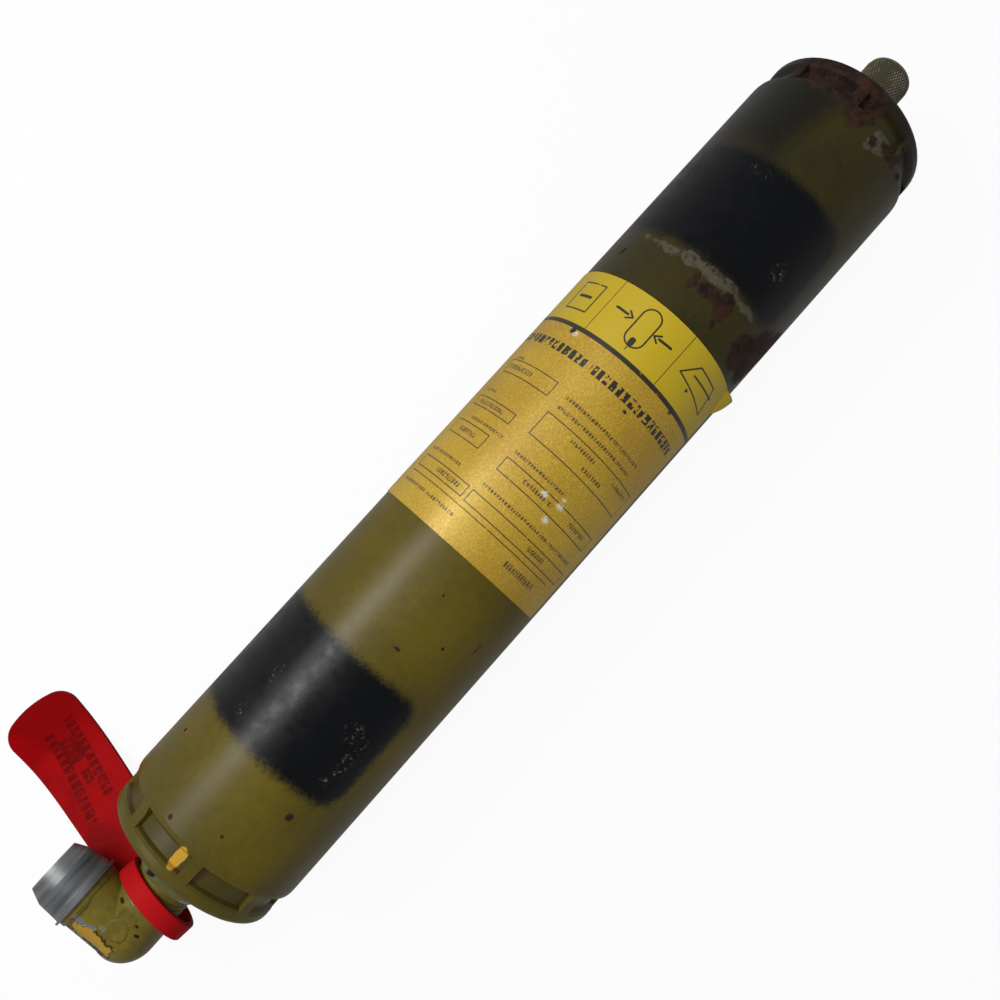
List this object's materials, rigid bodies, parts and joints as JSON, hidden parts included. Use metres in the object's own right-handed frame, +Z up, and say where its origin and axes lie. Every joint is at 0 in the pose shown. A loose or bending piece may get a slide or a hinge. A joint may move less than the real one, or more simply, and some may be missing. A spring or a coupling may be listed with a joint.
{
  "type": "hydraulic piston accumulator",
  "caption": "Crimped steel tube accumulator with an inner piston, a gas charging valve at one end and a right-angle oil fitting at the other.",
  "frame": {"origin": "on the tube's axis, at the middle of the tube's length", "axes": "+X along the tube towards the oil fitting, -Y the way the elbow's outlet points, +Z up as the accumulator lies on its side"},
  "size_m": [0.374, 0.0997, 0.0602],
  "materials": {
    "shell_paint": "worn olive paint with sprayed black bands, chipped to rust at the gas end",
    "end_cap_paint": "olive paint, dirty",
    "seal_rubber": "matt black nitrile",
    "backup_plastic": "waxy white",
    "bearing_plastic": "dark filled plastic",
    "piston_metal": "fine turned",
    "valve_steel": "plated steel",
    "core_brass": "turned",
    "knurled_metal": "dull knurled metal with olive overspray",
    "elbow_paint": "olive paint over yellow primer, flaked to bright metal",
    "locknut_paint": "olive paint, one corner worn to bright metal",
    "dust_cap_metal": "bright metal with turning streaks",
    "tag_plastic": "red moulded plastic with faded dark print",
    "label_foil": "metallised yellow label film, scuffed"
  },
  "bodies": {
    "accumulator": {"shell_tube": "shell_paint", "gas_end_cap": "end_cap_paint", "oil_end_cap": "end_cap_paint", "gas_cap_o_ring": "seal_rubber", "gas_cap_backup_ring": "backup_plastic", "oil_cap_o_ring": "seal_rubber", "oil_cap_backup_ring": "backup_plastic", "gas_valve_body": "valve_steel", "gas_valve_o_ring": "seal_rubber", "valve_core_body": "core_brass", "valve_core_spring": "valve_steel", "elbow_body": "elbow_paint", "elbow_locknut": "locknut_paint", "elbow_backup_washer": "valve_steel", "port_o_ring": "seal_rubber", "identification_tag": "tag_plastic", "data_label": "label_foil"},
    "piston_set": {"piston": "piston_metal", "piston_seal": "seal_rubber", "piston_backup_rings": "backup_plastic", "piston_bearing_rings": "bearing_plastic"},
    "charging_pin": {"valve_core_pin": "valve_steel"},
    "valve_cap": {"gas_valve_cap": "knurled_metal", "valve_cap_gasket": "seal_rubber"},
    "dust_cap": {"outlet_dust_cap": "dust_cap_metal"}
  },
  "joints": [
    {"name": "piston_slide", "type": "slide", "parent": "accumulator", "child": "piston_set", "axis": [-1, 0, 0], "range_m": [0, 0.2296]},
    {"name": "charging_pin_push", "type": "slide", "parent": "accumulator", "child": "charging_pin", "axis": [1, 0, 0], "range_m": [0, 0.0012], "stiffness_N_per_m": 1500, "springref_m": -0.001},
    {"name": "valve_cap_off", "type": "slide", "parent": "accumulator", "child": "valve_cap", "axis": [-1, 0, 0], "range_m": [0, 0.03]},
    {"name": "dust_cap_pull", "type": "slide", "parent": "accumulator", "child": "dust_cap", "axis": [0, -1, 0], "range_m": [0, 0.025]}
  ]
}
